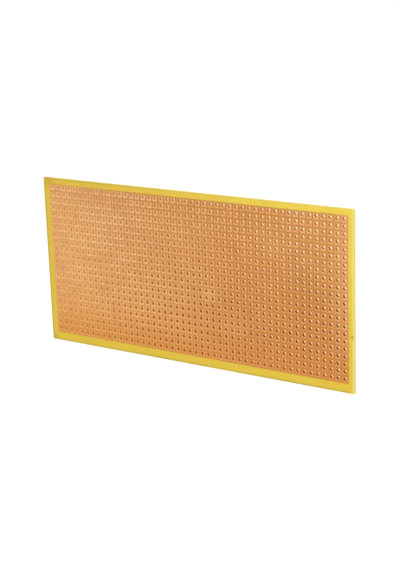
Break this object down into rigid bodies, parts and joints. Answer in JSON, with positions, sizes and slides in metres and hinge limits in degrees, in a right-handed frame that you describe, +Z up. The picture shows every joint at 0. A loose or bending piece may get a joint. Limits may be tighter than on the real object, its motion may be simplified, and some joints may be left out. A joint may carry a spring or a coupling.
{
  "type": "prototype board",
  "caption": "Rectangular prototype board: thin yellow laminate drilled right through on a square grid, with a separate bare copper pad round each hole on its upper side.",
  "frame": {"origin": "centre of the rectangle that the board stands on, on its bare underside", "axes": "+X along the long side, +Y across the board towards its narrower bare strip, +Z up out of the copper side"},
  "size_m": [0.1268, 0.0614, 0.001],
  "materials": {
    "laminate": "glass-epoxy laminate, satin, slightly translucent",
    "copper": "bare copper foil, lightly tarnished, satin"
  },
  "bodies": {
    "root": {"laminate": "laminate", "pad_row_01": "copper", "pad_row_02": "copper", "pad_row_03": "copper", "pad_row_04": "copper", "pad_row_05": "copper", "pad_row_06": "copper", "pad_row_07": "copper", "pad_row_08": "copper", "pad_row_09": "copper", "pad_row_10": "copper", "pad_row_11": "copper", "pad_row_12": "copper", "pad_row_13": "copper", "pad_row_14": "copper", "pad_row_15": "copper", "pad_row_16": "copper", "pad_row_17": "copper", "pad_row_18": "copper", "pad_row_19": "copper", "pad_row_20": "copper", "pad_row_21": "copper", "pad_row_22": "copper"}
  },
  "joints": []
}
